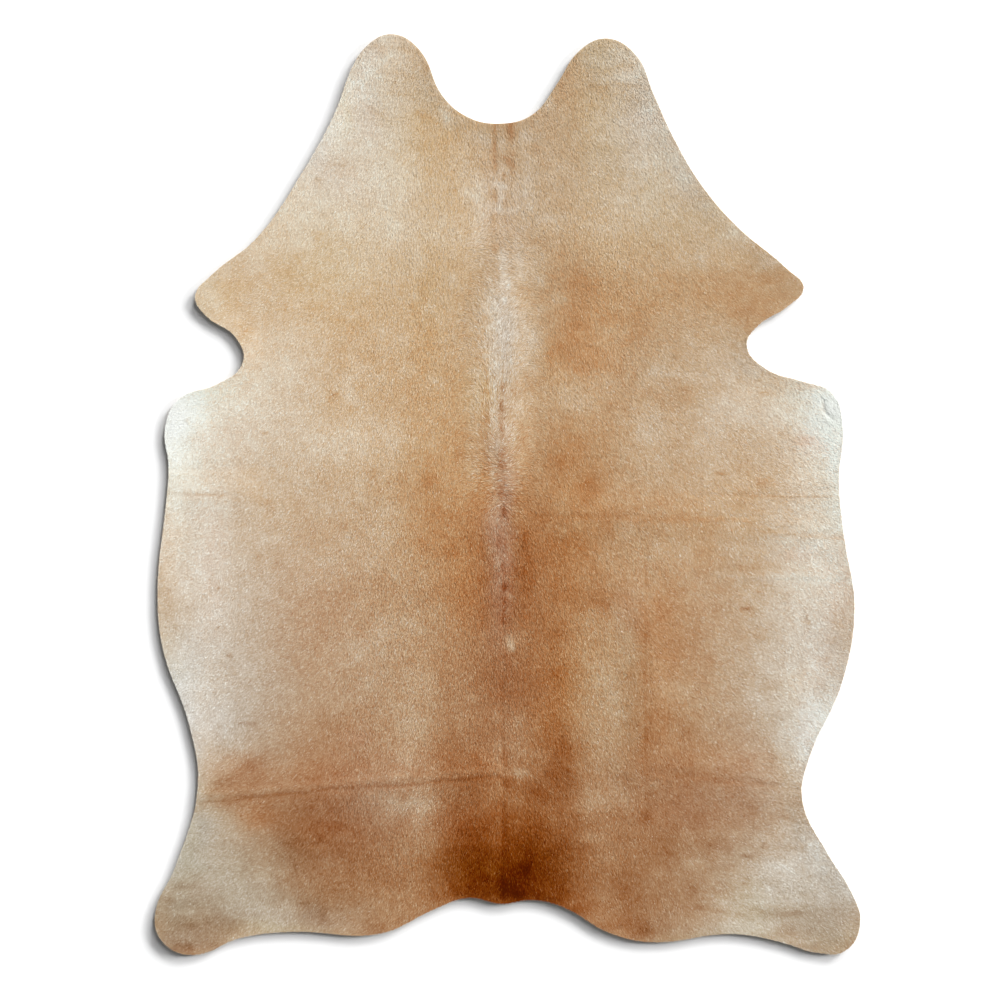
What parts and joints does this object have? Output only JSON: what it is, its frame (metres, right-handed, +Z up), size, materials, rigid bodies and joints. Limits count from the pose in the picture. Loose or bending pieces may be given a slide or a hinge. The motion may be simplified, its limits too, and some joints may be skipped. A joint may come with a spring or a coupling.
{
  "type": "hair-on cowhide rug",
  "caption": "Whole tan cowhide with its short hair on, cut to the animal's outline, lying flat on a floor with soft fold ridges and slightly lifted tips.",
  "frame": {"origin": "on the floor, under the middle of the hide's own box", "axes": "+X across the hide, +Y along the spine towards the neck, +Z up from the floor to the hair side"},
  "size_m": [1.6552, 2.16, 0.0139],
  "materials": {
    "cowhide": "matt short hair on tanned skin, tan to cream with a brown rump, suede flesh side"
  },
  "bodies": {
    "root": {"hide": "cowhide"}
  },
  "joints": []
}
